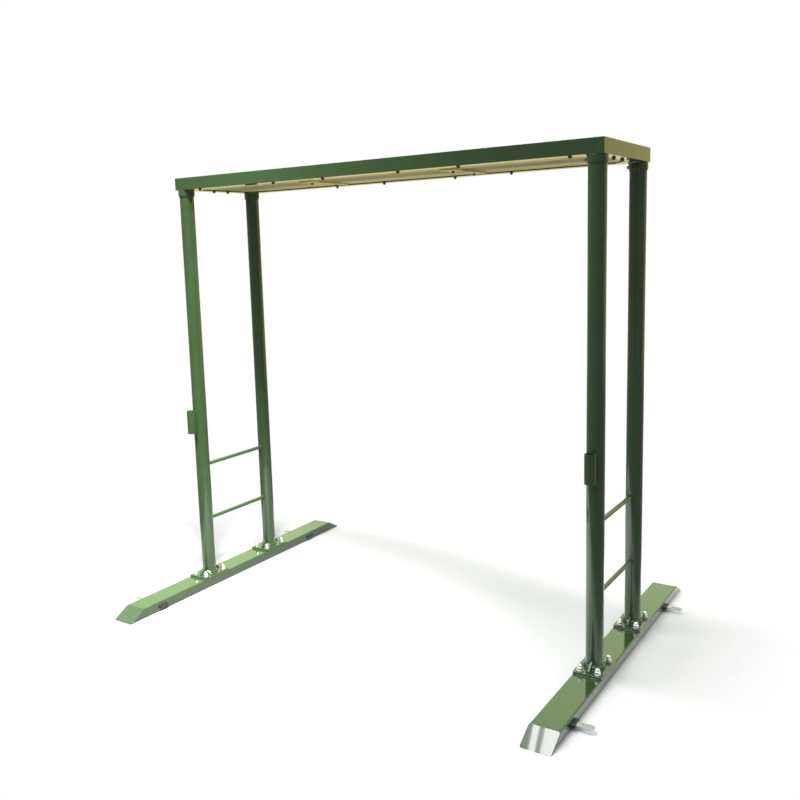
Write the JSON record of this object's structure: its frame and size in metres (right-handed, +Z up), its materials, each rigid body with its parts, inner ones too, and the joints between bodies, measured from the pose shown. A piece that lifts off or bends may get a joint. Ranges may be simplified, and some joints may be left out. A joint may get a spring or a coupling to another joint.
{
  "type": "raised balance beam",
  "caption": "High plank deck in a steel angle frame on four round uprights and two long bevelled feet, with rungs, accessory sleeves and sliding ground anchors.",
  "frame": {"origin": "on the ground, under the middle of the deck", "axes": "+X along the deck from the left stand to the right one, -Y towards the side with the accessory sleeves, +Z up"},
  "size_m": [2.036, 1.44, 1.8],
  "materials": {
    "green_paint": "gloss dark green enamel on steel",
    "bright_zinc": "bright zinc plating",
    "anchor_zinc": "hot-dip galvanised, dull",
    "dark_steel": "oiled black steel",
    "timber": "pale softwood, clear oil",
    "black_nylon": "moulded nylon, satin"
  },
  "bodies": {
    "stand_and_deck": {"foot_left": "green_paint", "foot_right": "green_paint", "foot_end_plate_left_front": "green_paint", "foot_end_plate_left_rear": "green_paint", "foot_end_plate_right_front": "green_paint", "foot_end_plate_right_rear": "green_paint", "base_flange_left_front": "green_paint", "base_flange_left_rear": "green_paint", "base_flange_right_front": "green_paint", "base_flange_right_rear": "green_paint", "base_backing_plates": "green_paint", "base_studs": "bright_zinc", "base_washers": "bright_zinc", "base_cap_nuts": "bright_zinc", "base_collars": "green_paint", "base_gussets_left": "green_paint", "base_gussets_right": "green_paint", "upright_left_front": "green_paint", "upright_left_rear": "green_paint", "upright_right_front": "green_paint", "upright_right_rear": "green_paint", "rung_left_lower": "green_paint", "rung_left_upper": "green_paint", "rung_right_lower": "green_paint", "rung_right_upper": "green_paint", "accessory_sleeve_left": "green_paint", "accessory_sleeve_right": "green_paint", "top_socket_left_front": "green_paint", "top_socket_left_rear": "green_paint", "top_socket_right_front": "green_paint", "top_socket_right_rear": "green_paint", "socket_set_screws": "dark_steel", "deck_corner_plates": "green_paint", "deck_rail_front": "green_paint", "deck_rail_rear": "green_paint", "deck_rail_left": "green_paint", "deck_rail_right": "green_paint", "plank_front": "timber", "plank_centre": "timber", "plank_rear": "timber", "underside_cleat_left": "timber", "underside_cleat_right": "timber", "deck_bolts": "bright_zinc", "deck_washers": "dark_steel", "deck_nuts": "dark_steel", "anchor_cross_tubes_left": "green_paint", "anchor_cross_tubes_right": "green_paint", "anchor_guide_left_front": "black_nylon", "anchor_guide_left_rear": "black_nylon", "anchor_guide_right_front": "black_nylon", "anchor_guide_right_rear": "black_nylon", "anchor_end_cap_left_front": "black_nylon", "anchor_end_cap_left_rear": "black_nylon", "anchor_end_cap_right_front": "black_nylon", "anchor_end_cap_right_rear": "black_nylon"},
    "anchor_left_front": {"anchor_bar_left_front": "anchor_zinc"},
    "anchor_left_rear": {"anchor_bar_left_rear": "anchor_zinc"},
    "anchor_right_front": {"anchor_bar_right_front": "anchor_zinc"},
    "anchor_right_rear": {"anchor_bar_right_rear": "anchor_zinc"}
  },
  "joints": [
    {"name": "anchor_slide_left_front", "type": "slide", "parent": "stand_and_deck", "child": "anchor_left_front", "axis": [-1, 0, 0], "range_m": [-0.03, 0.04]},
    {"name": "anchor_slide_left_rear", "type": "slide", "parent": "stand_and_deck", "child": "anchor_left_rear", "axis": [-1, 0, 0], "range_m": [-0.03, 0.04]},
    {"name": "anchor_slide_right_front", "type": "slide", "parent": "stand_and_deck", "child": "anchor_right_front", "axis": [1, 0, 0], "range_m": [-0.03, 0.04]},
    {"name": "anchor_slide_right_rear", "type": "slide", "parent": "stand_and_deck", "child": "anchor_right_rear", "axis": [1, 0, 0], "range_m": [-0.03, 0.04]}
  ]
}
